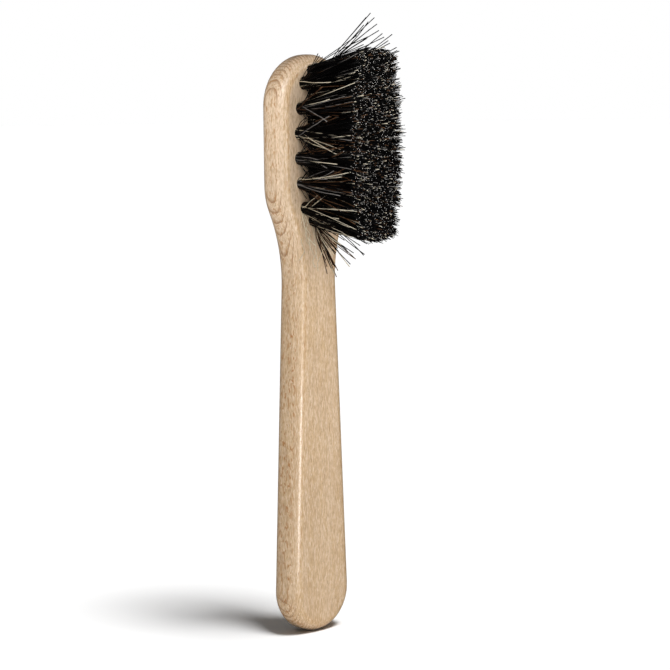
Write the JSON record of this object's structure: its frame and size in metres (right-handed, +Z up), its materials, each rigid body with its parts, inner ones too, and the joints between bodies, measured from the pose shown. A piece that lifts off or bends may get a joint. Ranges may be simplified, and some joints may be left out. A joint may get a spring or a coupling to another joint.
{
  "type": "bee brush",
  "caption": "Small one-piece beech hand brush with a rounded oval head and staggered columns of short dark horsehair tufts on one face.",
  "frame": {"origin": "lowest point of the handle's rounded end, midway across and midway through the board", "axes": "+Z up the handle to the head, +X across the body, +Y out of the flat back; the bristles point to -Y"},
  "size_m": [0.0338, 0.0366, 0.1909],
  "materials": {
    "beech": "fine sanded, unvarnished beech",
    "horsehair": "black horsehair with a few pale and brown hairs",
    "anchor_wire": "flat galvanised wire"
  },
  "bodies": {
    "root": {"beech_body": "beech", "tuft_outer_left_1": "horsehair", "tuft_outer_left_2": "horsehair", "tuft_outer_left_3": "horsehair", "tuft_outer_left_4": "horsehair", "tuft_outer_left_5": "horsehair", "tuft_outer_left_6": "horsehair", "tuft_inner_left_1": "horsehair", "tuft_inner_left_2": "horsehair", "tuft_inner_left_3": "horsehair", "tuft_inner_left_4": "horsehair", "tuft_inner_left_5": "horsehair", "tuft_inner_left_6": "horsehair", "tuft_inner_left_7": "horsehair", "tuft_inner_right_1": "horsehair", "tuft_inner_right_2": "horsehair", "tuft_inner_right_3": "horsehair", "tuft_inner_right_4": "horsehair", "tuft_inner_right_5": "horsehair", "tuft_inner_right_6": "horsehair", "tuft_inner_right_7": "horsehair", "tuft_outer_right_1": "horsehair", "tuft_outer_right_2": "horsehair", "tuft_outer_right_3": "horsehair", "tuft_outer_right_4": "horsehair", "tuft_outer_right_5": "horsehair", "tuft_outer_right_6": "horsehair", "anchors_outer_left": "anchor_wire", "anchors_inner_left": "anchor_wire", "anchors_inner_right": "anchor_wire", "anchors_outer_right": "anchor_wire"}
  },
  "joints": []
}
